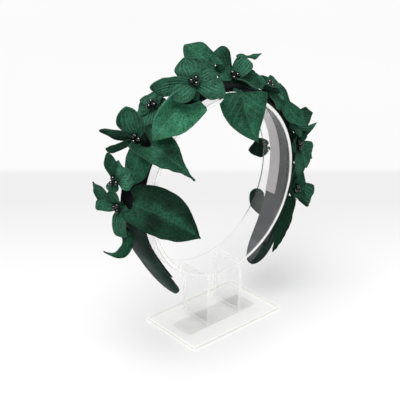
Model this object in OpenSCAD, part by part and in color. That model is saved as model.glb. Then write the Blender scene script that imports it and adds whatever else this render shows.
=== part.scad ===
// Leather flower diadem on a clear display stand.
// X runs from the left leg of the band to the right leg, -Y is the front,
// Z is up, and z = 0 is the underside of the stand's base plate.

/* [Stand] */
// Width of the base plate, left to right
base_w = 85; // [70:1:120]
// Depth of the base plate, front to back
base_d = 54; // [48:1:80]
// Thickness of the base plate
base_t = 3; // [2.5:0.1:6]
// Width of the soft pad let into the underside
pad_w = 66; // [40:1:68]
// Depth of the soft pad, front to back
pad_d = 19; // [10:1:40]
// Thickness of the soft pad
pad_t = 1; // [0.8:0.1:1.5]
// Middle radius of the ring that carries the band
ring_r = 65; // [64:0.1:65]
// Wall of the ring and the legs
ring_t = 3; // [2:0.1:3]
// Width of the ring, front to back
ring_w = 28; // [24:1:32]
// Height of the ring's middle above the base plate
ring_rise = 105; // [100:1:112]
// Distance between the middles of the two legs
leg_gap = 31; // [24:1:40]

/* [Band] */
// Radius of the padded band's middle layer where it follows the ring
band_r = 70.3; // [70.2:0.1:71]
// Width of the band, front to back
band_w = 22; // [18:1:24]
// Thickness of the padded band
band_t = 4; // [3:0.1:4.2]
// Extra padding on the outer side of the band's legs
outer_pad = 2.2; // [0:0.1:2.4]
// Length over which each end of the band narrows to its round tip
tip_len = 26; // [16:1:36]
// Length of the straighter left leg
left_len = 48; // [40:1:60]
// Length of the straighter right leg
right_len = 80; // [70:1:90]
// Thickness of the lining
lining_t = 0.8; // [0.6:0.1:0.9]
// Width of the ribbon inside the band
tape_w = 10; // [6:1:12]

/* [Leather] */
// Thickness of leaves and petals
leather_t = 1.2; // [1:0.1:1.4]
// Diameter of the beads
bead_d = 3.6; // [3:0.1:4]
// Diameter of a leaf's stalk
stalk_d = 2.4; // [2:0.1:3]
// Diameter of a flower's neck on the band
neck_d = 6; // [4:0.5:7]

/* [Hidden] */
gap = 0.15;
mid_y = 2;
ring_z = base_t + ring_rise;
band_y = mid_y + 0.5;

// Angles from the top where the band leaves the ring, and the radii of its legs
left_end = -120;
right_end = 95;
left_bend = 350;
right_bend = 128;
// Degrees from the top where the legs' padding starts, and over which it grows
pad_from = 60;
pad_over = 30;

// Cells across half a blade and along it, and how much closer its rows lie at the tip
petal_cells = [2, 5];
leaf_cells = [2, 7];
row_bias = 1.4;
// How far a petal starts from its flower's centre, how far the neck and the beads stand above it
petal_root = 1.5;
neck_rise = 0.6;
bead_rise = 4.2;
// Share of the width at a blade's base, and how far the sharp end of a blade's tip may narrow
leaf_base = 0.45;
petal_base = 0.42;
tip_share = 0.05;
root_share = 0.12;
// Where along a blade its tip starts to hook
hook_from = 0.62;
// Wave of a petal's edge, and the shift of the wave from one petal or leaf to the next
petal_wave = 0.5;
petal_shift = 0.3;
leaf_shift = 0.37;
// How far inside the band's edge a stalk or neck stands
foot_inset = 3;
// Corner radius of the pad, and the facets of rods and beads
pad_corner = 3;
round_fn = 24;

// One row per leaf: name, angle along the band, y, lift above the band's middle line, azimuth and
// elevation of its face, direction, length, width, rise at the root, rise at the tip, hook of the tip,
// sway, roll, twist, cup of the left and right half, wave of the edge, sharpness of the point,
// place of the widest part, reach of the lobes
L_NAME = 0; L_AT = 1; L_Y = 2; L_LIFT = 3; L_AZ = 4; L_EL = 5; L_SHAPE = 6;
LEAVES = [
 ["leaf_low_front", -82.5, -10, 9, -38, 22, 332, 48, 35, 15, -15, 0, -15, 10, 0, -5, 65, 1, 1.15, 0.35, 0.1],
 ["leaf_mid_front", -53.3, -6.5, 5.5, -35, 20, 319, 36, 26, 15, -15, 0, -12, 15, 45, 15, 30, 1, 1.6, 0.05, 0.3],
 ["leaf_heart", -26.5, -7, 5.5, -41, 30, 233, 33, 30, 22, 8, 0, 0, 0, 0, 10, 100, 1, 0.95, 0.05, 0.25],
 ["leaf_front_right", 8, -16.6, -1, -18, 12, 283, 36, 33, 12, -5, 0, 38, -12, 0, 0, 0, 1, 1.25, 0.05, 0.0],
 ["leaf_top", 0, 2, 15, -45, 45, 147, 24, 16.5, 15, 0, 0, -10, 0, 0, 20, 10, 1.5, 0.9, 0.6, 0.2],
 ["leaf_top_back", 20, 9, 18.5, -10, 40, 357, 17, 6, 10, 0, 30, 15, 40, 0, 10, 10, 1, 1.2, 0.4, 0.1],
 ["leaf_right_upper", 51, -9.5, 5, -15, 20, 313, 22, 12, 10, -5, 0, 25, 0, 0, 15, 15, 1, 0.9, 0.35, 0.1],
 ["leaf_right_thin", 83, 2, 12, -10, 20, 30, 24, 6, 10, 20, 20, 0, 30, 0, 10, 10, 0.5, 1.2, 0.4, 0.1],
 ["leaf_right_low", 112.5, -9.8, 4, 0, 0, 244, 44, 14, 0, 0, 0, -15, 0, 0, 0, 0, 0, 1.0, 0.42, 0.0],
 ["leaf_back_right", 86, 17.5, -1, 150, 10, 354, 14, 16, 5, -5, 0, 0, 0, 0, 10, 10, 1, 0.9, 0.3, 0.1],
 ["leaf_back_low", 120, 14, 2, 130, -10, 330, 12, 22, 5, -5, 0, 0, 0, 0, 10, 10, 1, 0.6, 0.4, 0.1],
 ["leaf_low_left", -101, 5, 7.5, -50, 0, 228, 31, 8, 5, -5, 0, -160, 30, 0, 15, 10, 1, 1.1, 0.4, 0.0],
 ["leaf_band_left", -57, -4, 9.5, -72, 5, 257, 26, 20, 10, -5, 0, -8, 0, 0, 0, -15, 1, 1.0, 0.25, 0.0],
 ["leaf_right_mid", 94, -4, 8.5, 15, 0, 262, 15, 11, 5, -5, 0, 0, 0, 0, 15, 10, 1, 0.9, 0.4, 0.1],
 ["leaf_rear_upper", 41, 10, 11, -20, 25, 315, 29, 13, 5, -5, 0, -15, 0, 0, 15, 15, 1, 0.9, 0.4, 0.1],
 ["leaf_rear_middle", 58, 8, 10.5, -20, 15, 302, 29, 13, 5, -5, 0, -15, 0, 0, 15, 15, 1, 0.9, 0.4, 0.1],
 ["leaf_rear_side", 78, 8, 9.5, -20, 5, 292, 26, 13, 5, -5, 0, -15, 0, 0, 15, 15, 1, 0.9, 0.4, 0.1],
 ["leaf_rear_low", 96, 8, 9, -20, 0, 282, 24, 13, 5, -5, 0, -10, 0, 0, 15, 15, 1, 0.9, 0.4, 0.1],
];
// One row per flower: name, angle along the band, y, lift, azimuth and elevation of its face,
// turn of its beads
F_NAME = 0; F_AT = 1; F_Y = 2; F_LIFT = 3; F_AZ = 4; F_EL = 5; F_TURN = 6;
FLOWERS = [
 ["main", -18, -9, 14.5, -38, 35, 60],
 ["crown", 12.6, 0, 5, -20, 45, 0],
 ["left", -53, 6, 7, -60, 20, 0],
 ["low_left", -88, 8, 6, -80, 0, 60],
 ["upper_left", -36, 8, 9, -70, 50, 0],
 ["side_left", -75, 10, 10, -60, 10, 100],
 ["upper_right", 38, -2, 7, 15, 50, 50],
 ["right", 81, -6, 6, 15, 10, 0],
 ["low_right", 107, -7, 6, 5, 0, 80],
 ["side_right", 67, -4, 8.5, 20, 20, 30],
];
// One row per petal: flower, direction, length, width, rise at the root, rise at the tip,
// hook of the tip, cup, roll, sharpness of its end: 0 is round, 1 is a point, below 0 is squarer
P_FLOWER = 0;
PETALS = [
 ["main", 113, 16, 19, 22, 0, 0, 25, 0, 0.7],
 ["main", 192, 31, 12, 38, -30, -110, 20, 35, 0.2],
 ["main", 219, 18, 16, 35, -5, 0, 15, 0, 0.2],
 ["main", 337, 20, 15, 25, -15, 0, 12, 0, 0.5],
 ["main", 20, 14, 12, 20, 0, 0, 10, 0, 0.5],
 ["crown", 149, 14, 15, 25, 10, 0, 10, 0, 0.9],
 ["crown", 124, 25, 15, 15, 70, -240, 25, 0, 0.1],
 ["crown", 38, 17, 13, 45, 45, -150, 20, 0, 0.2],
 ["crown", 318, 25, 13, 20, -10, 0, 15, 60, 0.6],
 ["crown", 345, 20, 15, 10, -25, 0, 20, 0, 0.8],
 ["left", 105, 23, 18, 45, 20, 0, 35, 0, 0.3],
 ["left", 172, 25, 13, 10, 0, 60, 20, 60, 0.2],
 ["left", 207, 27, 6, 40, -50, -40, 20, 40, 0.5],
 ["left", 76, 15, 12, 40, 10, 0, 20, 30, 0.8],
 ["left", 262, 8, 10, 55, 30, 0, 20, 0, 0.8],
 ["low_left", 160, 25, 13, 20, -20, 0, 20, 15, -0.4],
 ["low_left", 183, 19, 13, 30, -20, 0, 40, -50, 0.6],
 ["low_left", 100, 13, 11, 40, 15, 0, 25, 0, 0.5],
 ["low_left", 285, 20, 13, 40, -15, 0, 20, 0, -0.3],
 ["low_left", 333, 10, 11, 20, 0, 0, 20, 0, 0.6],
 ["upper_left", 264, 13, 17, -10, -40, 0, 20, 0, 0.6],
 ["upper_left", 191, 15, 13, -10, -40, 0, 20, 0, 0.7],
 ["upper_left", 104, 11, 12, 0, -30, 0, 20, 0, 0.7],
 ["upper_left", 134, 17, 13, 0, -40, 0, 20, 0, 0.7],
 ["upper_left", 25, 9, 13, -20, -40, 0, 20, 0, 0.5],
 ["side_left", 80, 13, 10, 20, 0, 0, 10, 0, 0.9],
 ["side_left", 101, 19, 8, 30, 10, 0, 35, -30, 0.3],
 ["side_left", 3, 13, 11, 20, 0, 0, 10, 0, 0.9],
 ["side_left", 254, 7, 9, 30, 10, 0, 20, 0, 0.5],
 ["side_left", 38, 12, 10, 15, 0, 0, 10, 0, 0.5],
 ["upper_right", 121, 15, 15, 10, -20, 0, 15, 0, 0.8],
 ["upper_right", 1, 12, 12, 25, 10, -60, 20, 0, 0.8],
 ["upper_right", 283, 18, 15, 5, -50, 0, 20, 0, 0.8],
 ["upper_right", 321, 16, 14, 10, -30, -60, 20, 0, 0.8],
 ["upper_right", 225, 13, 14, 25, 85, 0, 15, 0, 0.8],
 ["right", 49, 12, 10, 25, 10, 0, 35, 60, 0.5],
 ["right", 329, 26, 13, 20, -10, -90, 20, 0, 0.8],
 ["right", 302, 25, 13, 20, -10, -40, 20, 0, 0.8],
 ["right", 254, 23, 14, 25, -10, 0, 20, 0, 0.7],
 ["right", 160, 11, 12, 35, 10, 0, 20, 0, 0.6],
 ["low_right", 327, 27, 17, 20, -10, -40, 15, 0, 0.8],
 ["low_right", 308, 22, 10, 30, 0, -90, 20, 40, 0.5],
 ["low_right", 38, 13, 13, 20, -10, 0, 20, 0, 0.7],
 ["low_right", 205, 11, 13, 20, 85, 0, 10, 0, 0.6],
 ["low_right", 255, 9, 11, 45, 60, 0, 10, 0, 0.8],
 ["side_right", 357, 21, 13, 30, 0, 70, 35, 0, 0.7],
 ["side_right", 295, 14, 13, 20, -10, 0, 20, 0, 0.8],
 ["side_right", 113, 14, 13, 20, -10, 0, 20, 0, 0.8],
 ["side_right", 183, 10, 12, 35, 0, 0, 20, 0, 0.8],
 ["side_right", 330, 18, 12, 35, 0, -60, 20, 0, 0.8],
];

// Every node: the stand, the band, each leaf, and each flower's petals and beads

function radians_of(a) = a * PI / 180;
function degrees_of(a) = a * 180 / PI;
function normal_of(a) = [sin(a), 0, cos(a)];
function sum_of(list) = [for (x = list) 1] * list;

// The band's middle line at arc length s from the top: [point, angle of its normal]
function arc_at(end, bend, s) =
    let (a = end + degrees_of((s - radians_of(end) * band_r) / bend),
         c = [0, mid_y, ring_z] + (band_r - bend) * normal_of(end))
    [c + bend * normal_of(a), a];
function band_at(s) =
    s < radians_of(left_end) * band_r ? arc_at(left_end, left_bend, s) :
    s > radians_of(right_end) * band_r ? arc_at(right_end, right_bend, s) :
    arc_at(0, band_r, s);
// A point above the band: angle along it, y, lift above its middle line
function seat(at, y, lift) =
    let (b = band_at(radians_of(at) * band_r))
    [b[0][0], y, b[0][2]] + lift * normal_of(b[1]);
// Axes of a face: outward, to the right, up
function face_axes(az, el) =
    let (a = [sin(az) * cos(el), -cos(az) * cos(el), sin(el)], r = [cos(az), sin(az), 0])
    [a, r, cross(a, r)];

// A blade is one leaf or petal. Columns of its shape
SPIN = 0; LEN = 1; WID = 2; RISE0 = 3; RISE1 = 4; HOOK = 5; SWAY = 6; ROLL = 7; TWIST = 8;
CUPL = 9; CUPR = 10; WAVE = 11; POINT = 12; BELLY = 13; LOBE = 14; PHASE = 15;

petal_belly = 0.62;
// Half width along the blade, as a share of the widest. A leaf has POINT over 0, and a petal has
// POINT at most 0: its sharpness less 1
function blade_width(b, s) =
    b[POINT] > 0 ? leaf_width(s, b[POINT], b[BELLY]) : petal_width(s, b[POINT] + 1);
function leaf_width(s, point, belly) =
    s < belly ? leaf_base + (1 - leaf_base) * sqrt(max(0, 1 - pow(1 - s / belly, 2))) :
    pow(max(0, 1 - pow((s - belly) / (1 - belly), 2)), point);
function petal_width(s, sharp) =
    s < petal_belly ? petal_base + (1 - petal_base) * pow(sin(90 * s / petal_belly), 1.15) :
    let (t = (s - petal_belly) / (1 - petal_belly))
    pow(max(0, 1 - pow(t, 2.3 - sharp)), 0.6 + 0.5 * sharp) * (1 - 0.08 * t);

// Direction of the midrib, normal and side at s
function blade_frame(b, ax, s) =
    let (h = b[SPIN] + b[SWAY] * (s - 0.5),
         d = cos(h) * ax[1] + sin(h) * ax[2],
         hooked = max(0, (s - hook_from) / (1 - hook_from)),
         p = b[RISE0] + (b[RISE1] - b[RISE0]) * s + b[HOOK] * hooked * hooked,
         t = cos(p) * d + sin(p) * ax[0],
         n = cos(p) * ax[0] - sin(p) * d,
         side = cross(t, n),
         o = b[ROLL] + b[TWIST] * s)
    [t, cos(o) * n - sin(o) * side, cos(o) * side + sin(o) * n];
// Rows lie closer together towards the tip
function row_at(i, rows) = 1 - pow(1 - i / rows, row_bias);
function midrib_step(b, ax, s0, s1) =
    sum_of([for (k = [0.125 : 0.25 : 0.875]) blade_frame(b, ax, s0 + k * (s1 - s0))[0]])
    * b[LEN] * (s1 - s0) / 4;
function midrib(b, ax, root, rows) =
    [for (i = 0, p = root; i <= rows;
          p = p + midrib_step(b, ax, row_at(i, rows), row_at(min(i + 1, rows), rows)), i = i + 1) p];
// A point of the blade: u runs from -1 to 1 across it, off is the height over the middle layer
function blade_point(b, f, p, s, w, u, off) =
    let (half = b[WID] / 2,
         g = b[u > 0 ? CUPR : CUPL] * w / half,
         q = abs(u), a = g * q, flat = abs(g) < 0.1,
         lateral = flat ? w * q : w * sin(a) / radians_of(g),
         wave = b[WAVE] * q * q * min(1, 1.3 * w / half)
                * sin(360 * (1.4 * s + b[PHASE]) + (u > 0 ? 0 : 110)),
         height = wave + (flat ? 0 : w * (1 - cos(a)) / radians_of(g)),
         back = b[LOBE] * b[LEN] * q * q * pow(max(0, 1 - s / max(b[BELLY], 0.2)), 1.5),
         n = cos(a) * f[1] - sign(u) * sin(a) * f[2])
    p + sign(u) * lateral * f[2] + height * f[1] - back * f[0] + off * n;

module blade(b, ax, root, cells) {
    half_cells = cells[0];
    rows = cells[1];
    cols = 2 * half_cells + 1;
    rib = midrib(b, ax, root, rows);
    layer = cols * (rows + 1);
    points = [for (off = [leather_t / 2, -leather_t / 2], i = [0 : rows])
        let (s = row_at(i, rows), f = blade_frame(b, ax, s),
             w = b[WID] / 2 * max(blade_width(b, s), i == rows ? tip_share : root_share))
        for (j = [-half_cells : half_cells]) blade_point(b, f, rib[i], s, w, j / half_cells, off)];
    function at(i, j, side) = side * layer + i * cols + j;
    sheets = [for (i = [0 : rows - 1], j = [0 : cols - 2])
        each [[at(i, j, 0), at(i + 1, j, 0), at(i + 1, j + 1, 0)],
              [at(i, j, 0), at(i + 1, j + 1, 0), at(i, j + 1, 0)],
              [at(i, j, 1), at(i + 1, j + 1, 1), at(i + 1, j, 1)],
              [at(i, j, 1), at(i, j + 1, 1), at(i + 1, j + 1, 1)]]];
    rim = concat([for (i = [0 : rows]) i * cols],
                 [for (j = [1 : cols - 1]) rows * cols + j],
                 [for (i = [rows - 1 : -1 : 0]) i * cols + cols - 1],
                 [for (j = [cols - 2 : -1 : 1]) j]);
    edges = [for (k = [0 : len(rim) - 1]) let (a = rim[k], c = rim[(k + 1) % len(rim)])
        each [[a, c + layer, c], [a, a + layer, c + layer]]];
    polyhedron(points, concat(sheets, edges));
}

// A straight rod between two points
module rod(p, q, d) {
    v = q - p;
    translate(p)
        rotate([0, acos(v[2] / norm(v)), atan2(v[1], v[0])])
        cylinder(h = norm(v), d = d, $fn = round_fn);
}

// Half thickness of the band on its outer side
function outer_at(at) =
    band_t / 2 + outer_pad * max(0, min(1, (abs(at) - pad_from) / pad_over));
// Where a stalk or neck meets the band: its outer face, or an edge for a low seat
function foot(at, y, lift) =
    let (reach = band_w / 2 - foot_inset, side = y > band_y ? 1 : -1, top = outer_at(at) + gap)
    lift > top ?
        seat(at, band_y + max(-reach, min(reach, y - band_y)), top) :
        seat(at, band_y + side * (band_w / 2 + gap), min(lift, band_t / 2));

function leaf_shape(row, k) =
    concat([for (i = [L_SHAPE : len(row) - 1]) row[i]], [leaf_shift * k]);
function petal_shape(row, i) = [row[1], row[2], row[3], row[4], row[5], row[6], 0, row[8], 0,
    row[7], row[7], petal_wave, row[9] - 1, petal_belly, 0, petal_shift * i];

module leaf(k) {
    row = LEAVES[k];
    root = seat(row[L_AT], row[L_Y], row[L_LIFT]);
    ax = face_axes(row[L_AZ], row[L_EL]);
    color("#1c5438") union() {
        blade(leaf_shape(row, k), ax, root, leaf_cells);
        rod(foot(row[L_AT], row[L_Y], row[L_LIFT]), root, stalk_d);
    }
}

module corolla(k) {
    f = FLOWERS[k];
    centre = seat(f[F_AT], f[F_Y], f[F_LIFT]);
    ax = face_axes(f[F_AZ], f[F_EL]);
    rows = [for (r = PETALS) if (r[P_FLOWER] == f[F_NAME]) r];
    color("#1f5a3c") union() {
        for (i = [0 : len(rows) - 1]) {
            b = petal_shape(rows[i], i);
            out = cos(b[SPIN]) * ax[1] + sin(b[SPIN]) * ax[2];
            blade(b, ax, centre + petal_root * out, petal_cells);
        }
        rod(foot(f[F_AT], f[F_Y], f[F_LIFT]), centre + neck_rise * ax[0], neck_d);
    }
}

module beads(k) {
    f = FLOWERS[k];
    ax = face_axes(f[F_AZ], f[F_EL]);
    centre = seat(f[F_AT], f[F_Y], f[F_LIFT]) + bead_rise * ax[0];
    reach = (bead_d + gap) / sqrt(3);
    color("#101012") for (j = [0 : 2]) {
        turn = f[F_TURN] + 120 * j;
        translate(centre + reach * (cos(turn) * ax[1] + sin(turn) * ax[2]))
            sphere(d = bead_d, $fn = round_fn);
    }
}

// A closed solid through sections of equal point count
module sweep(sections) {
    n = len(sections[0]);
    last = len(sections) - 1;
    walls = [for (i = [0 : last - 1], j = [0 : n - 1])
        let (a = i * n + j, b = i * n + (j + 1) % n)
        each [[a, a + n, b + n], [a, b + n, b]]];
    polyhedron([for (s = sections) each s],
        concat(walls, [[for (j = [0 : n - 1]) j], [for (j = [n - 1 : -1 : 0]) last * n + j]]));
}

s_left = radians_of(left_end) * band_r - left_len;
s_right = radians_of(right_end) * band_r + right_len;
tip_rows = 6;
mid_rows = 30;
section_points = 12;
// How square the band's section is across and through
square_across = 0.6;
square_through = 0.7;
function tip_at(i) = tip_len * (1 - cos(90 * i / tip_rows));
band_rows = concat([for (i = [0 : tip_rows]) s_left + tip_at(i)],
    [for (i = [1 : mid_rows - 1]) s_left + tip_len + (s_right - s_left - 2 * tip_len) * i / mid_rows],
    [for (i = [tip_rows : -1 : 0]) s_right - tip_at(i)]);
// Share of the full width at arc length s
function taper(s) =
    let (t = max(0, 1 - min(s - s_left, s_right - s) / tip_len))
    max(0.1, sqrt(1 - pow(t, 2.4)));
function power(v, e) = sign(v) * pow(abs(v), e);

module band() {
    sections = [for (s = band_rows)
        let (b = band_at(s), n = normal_of(b[1]),
             w = taper(s) * band_w / 2, outer = outer_at(degrees_of(s / band_r)))
        [for (k = [0 : section_points - 1])
            let (a = 360 * (k + 0.5) / section_points,
                 t = (0.5 + 0.5 * taper(s)) * (a < 180 ? outer : band_t / 2))
            b[0] + [0, band_y - mid_y + w * power(cos(a), square_across), 0]
            + t * power(sin(a), square_through) * n]];
    color("#2b3f3c") sweep(sections);
}

// A flat strip under the band: its ends, its edges in y, how far below the middle line, thickness
module strip(s0, s1, y0, y1, below, t, rows) {
    sections = [for (i = [0 : rows])
        let (s = s0 + (s1 - s0) * i / rows, b = band_at(s), n = normal_of(b[1]))
        [for (c = [[y0, 0], [y0, t], [y1, t], [y1, 0]])
            [b[0][0], c[0], b[0][2]] - (below + c[1]) * n]];
    sweep(sections);
}

// How far the lining stops from the band's tips and edges, and the gaps under the band and the lining
lining_end = 20;
lining_inset = 2.5;
lining_w = band_w - 2 * lining_inset;
lining_gap = 0.2;
lining_rows = 56;
module band_lining()
    color("#6a6d70")
    strip(s_left + lining_end, s_right - lining_end, band_y - lining_w / 2, band_y + lining_w / 2,
        band_t / 2 + lining_gap, lining_t, lining_rows);

// The ribbon's ends along the band, its front edge from the band's middle, and its thickness
tape_from = 22;
tape_to = 113;
tape_y = -1;
tape_t = 0.3;
tape_rows = 28;
module band_ribbon()
    color("#c9c2c6")
    strip(radians_of(tape_from) * band_r, radians_of(tape_to) * band_r,
        band_y + tape_y, band_y + tape_y + tape_w,
        band_t / 2 + lining_gap + gap + lining_t, tape_t, tape_rows);

module stand_base() {
    color("#f2f2ec") difference() {
        translate([-base_w / 2, -base_d / 2, 0]) cube([base_w, base_d, base_t]);
        translate([-pad_w / 2 - gap, -pad_d / 2 - gap, -1])
            cube([pad_w + 2 * gap, pad_d + 2 * gap, pad_t + gap + 1]);
    }
}
module stand_pad()
    color("#d8d8d8") linear_extrude(pad_t)
    offset(r = pad_corner, $fn = 32)
    square([pad_w - 2 * pad_corner, pad_d - 2 * pad_corner], center = true);

module stand_loop() {
    leg_h = ring_rise - sqrt(pow(ring_r, 2) - pow(leg_gap / 2, 2));
    color("#eef0f0") union() {
        translate([0, mid_y + ring_w / 2, ring_z]) rotate([90, 0, 0])
            difference() {
                cylinder(h = ring_w, r = ring_r + ring_t / 2, $fn = 120);
                translate([0, 0, -1]) cylinder(h = ring_w + 2, r = ring_r - ring_t / 2, $fn = 120);
            }
        for (side = [-1, 1])
            translate([side * leg_gap / 2 - ring_t / 2, mid_y - ring_w / 2, base_t + gap])
            cube([ring_t, ring_w, leg_h - gap]);
    }
}

stand_base();
stand_pad();
stand_loop();
band();
band_lining();
band_ribbon();
for (k = [0 : len(LEAVES) - 1]) leaf(k);
for (k = [0 : len(FLOWERS) - 1])
    corolla(k);
for (k = [0 : len(FLOWERS) - 1])
    beads(k);
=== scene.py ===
import itertools
import math

import bpy
import numpy as np
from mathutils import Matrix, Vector


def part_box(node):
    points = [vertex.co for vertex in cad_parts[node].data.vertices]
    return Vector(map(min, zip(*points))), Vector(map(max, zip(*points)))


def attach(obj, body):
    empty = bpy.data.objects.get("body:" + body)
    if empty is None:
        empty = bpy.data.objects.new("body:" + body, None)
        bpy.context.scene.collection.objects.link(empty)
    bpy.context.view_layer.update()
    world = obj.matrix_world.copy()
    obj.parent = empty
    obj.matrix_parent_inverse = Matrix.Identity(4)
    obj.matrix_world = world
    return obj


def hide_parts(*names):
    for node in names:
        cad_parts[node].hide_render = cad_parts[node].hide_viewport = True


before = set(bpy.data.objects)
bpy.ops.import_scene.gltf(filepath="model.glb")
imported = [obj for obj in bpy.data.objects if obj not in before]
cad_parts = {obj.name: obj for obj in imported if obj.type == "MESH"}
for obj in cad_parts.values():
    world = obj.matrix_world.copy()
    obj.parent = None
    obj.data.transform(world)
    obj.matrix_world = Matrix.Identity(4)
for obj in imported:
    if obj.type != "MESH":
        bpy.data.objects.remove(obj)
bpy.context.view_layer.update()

# Sizes are in metres, and MM turns the tables' millimetres into metres.
MM = 0.001

# Stand, read from the frame
BASE_LO, BASE_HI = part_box("stand_base")
PAD_LO, PAD_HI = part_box("stand_pad")
LOOP_LO, LOOP_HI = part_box("stand_loop")
RING_WALL = 3 * MM
RING_OUT = (LOOP_HI.x - LOOP_LO.x) / 2
RING_X = (LOOP_HI.x + LOOP_LO.x) / 2
RING_Y = (LOOP_HI.y + LOOP_LO.y) / 2
RING_Z = LOOP_HI.z - RING_OUT
LEG_GAP = 31 * MM

# Band. PAD_ and WRAP_ angles are degrees from its top, and the others are radians.
BAND_LO, BAND_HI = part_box("band")
BAND_W = BAND_HI.y - BAND_LO.y
BAND_T = 4 * MM
OUTER_PAD = 2.2 * MM
PAD_FROM, PAD_FULL = 60, 90
WRAP_END, WRAP_FULL, WRAP_T = 98, 97.2, 0.4 * MM
BAND_Y = (BAND_HI.y + BAND_LO.y) / 2
BAND_R = 70.3 * MM
LEFT_END, RIGHT_END = math.radians(-120), math.radians(95)
LEFT_BEND, RIGHT_BEND = 350 * MM, 128 * MM
LEFT_LEN, RIGHT_LEN = 48 * MM, 80 * MM
S_LEFT = LEFT_END * BAND_R - LEFT_LEN
S_RIGHT = RIGHT_END * BAND_R + RIGHT_LEN
TIP_LEN, TIP_SHADOW_LINE, TIP_LINED = 26 * MM, 18 * MM, 22 * MM
SEAM_IN, SEAM_W, SEAM_DEEP = 2.2 * MM, 0.5 * MM, 0.3 * MM
LINING_GAP, LINING_T = 0.2 * MM, 0.8 * MM

# Leather and beads
LEATHER_T = 1.0 * MM
STALK_R = 1.15 * MM
NECK_R = 2.9 * MM
BEAD_R = 1.8 * MM
PETAL_ROOT = 1.5 * MM
BEAD_RISE = 4.2 * MM
CONTACT = 0.15 * MM

# Leaves: angle along the band, y, lift above the band's middle line, azimuth and elevation of the
# face, direction, length, width, rise at the root, rise at the tip, hook of the tip, sway, roll,
# twist, cup of the left and right half, wave of the edge, sharpness of the point, place of the
# widest part, reach of the lobes
LEAF_COLUMNS = ("at y lift az el spin len wid rise0 rise1 hook sway roll twist cupl cupr wave point"
                " belly lobe").split()
LEAVES = {
    "low_front": (-82.5, -10, 9, -38, 22, 332, 48, 35, 15, -15, 0, -15, 10, 0, -5, 65, 1, 1.15, 0.35, 0.1),
    "mid_front": (-53.3, -6.5, 5.5, -35, 20, 319, 36, 26, 15, -15, 0, -12, 15, 45, 15, 30, 1, 1.6, 0.05, 0.3),
    "heart": (-26.5, -7, 5.5, -41, 30, 233, 33, 30, 22, 8, 0, 0, 0, 0, 10, 100, 1, 0.95, 0.05, 0.25),
    "front_right": (8, -16.6, -1, -18, 12, 283, 36, 33, 12, -5, 0, 38, -12, 0, 0, 0, 1, 1.25, 0.05, 0.0),
    "top": (0, 2, 15, -45, 45, 147, 24, 16.5, 15, 0, 0, -10, 0, 0, 20, 10, 1.5, 0.9, 0.6, 0.2),
    "top_back": (20, 9, 18.5, -10, 40, 357, 17, 6, 10, 0, 30, 15, 40, 0, 10, 10, 1, 1.2, 0.4, 0.1),
    "right_upper": (51, -9.5, 5, -15, 20, 313, 22, 12, 10, -5, 0, 25, 0, 0, 15, 15, 1, 0.9, 0.35, 0.1),
    "right_thin": (83, 2, 12, -10, 20, 30, 24, 6, 10, 20, 20, 0, 30, 0, 10, 10, 0.5, 1.2, 0.4, 0.1),
    "right_low": (112.5, -9.8, 4, 0, 0, 244, 44, 14, 0, 0, 0, -15, 0, 0, 0, 0, 0, 1.0, 0.42, 0.0),
    "back_right": (86, 17.5, -1, 150, 10, 354, 14, 16, 5, -5, 0, 0, 0, 0, 10, 10, 1, 0.9, 0.3, 0.1),
    "back_low": (120, 14, 2, 130, -10, 330, 12, 22, 5, -5, 0, 0, 0, 0, 10, 10, 1, 0.6, 0.4, 0.1),
    "low_left": (-101, 5, 7.5, -50, 0, 228, 31, 8, 5, -5, 0, -160, 30, 0, 15, 10, 1, 1.1, 0.4, 0.0),
    "band_left": (-57, -4, 9.5, -72, 5, 257, 26, 20, 10, -5, 0, -8, 0, 0, 0, -15, 1, 1.0, 0.25, 0.0),
    "right_mid": (94, -4, 8.5, 15, 0, 262, 15, 11, 5, -5, 0, 0, 0, 0, 15, 10, 1, 0.9, 0.4, 0.1),
    "rear_upper": (41, 10, 11, -20, 25, 315, 29, 13, 5, -5, 0, -15, 0, 0, 15, 15, 1, 0.9, 0.4, 0.1),
    "rear_middle": (58, 8, 10.5, -20, 15, 302, 29, 13, 5, -5, 0, -15, 0, 0, 15, 15, 1, 0.9, 0.4, 0.1),
    "rear_side": (78, 8, 9.5, -20, 5, 292, 26, 13, 5, -5, 0, -15, 0, 0, 15, 15, 1, 0.9, 0.4, 0.1),
    "rear_low": (96, 8, 9, -20, 0, 282, 24, 13, 5, -5, 0, -10, 0, 0, 15, 15, 1, 0.9, 0.4, 0.1),
}
# Looks of some leaves: how much lighter or darker the leaf is, partly its own tone and partly
# painted light and shade (lighter where it faces up into the light, darker low down and at the
# back), height of the fold along the midrib, curl of the edge at the base, strength of the veins
# and of the light cut edge
FORMS = {
    "low_front": (-1.35, 2.0, 0.6, 0.5, 0.2), "mid_front": (-0.7, 1.0, 2.6, 0.6, 0.6),
    "heart": (1.2, 1.4, 0.8, 0.4, 0.5), "front_right": (-0.1, 1.0, 0.5, 2.2, 0.5),
    "right_low": (-1.6, 0.6, 0.0, 0.8, 0.5), "low_left": (-0.3, 0.5, 0.0, 0.8, 0.5),
    "top": (0.2, 0.8, 0.8, 0.5, 0.5), "band_left": (-0.4, 0.8, 0.5, 0.5, 0.3),
    "back_right": (-1.1, 0.5, 0.5, 0.5, 0.5), "back_low": (-0.5, 0.5, 0.5, 0.5, 0.5),
}
PLAIN = (0.0, 0.6, 0.5, 0.6, 0.5)
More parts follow.
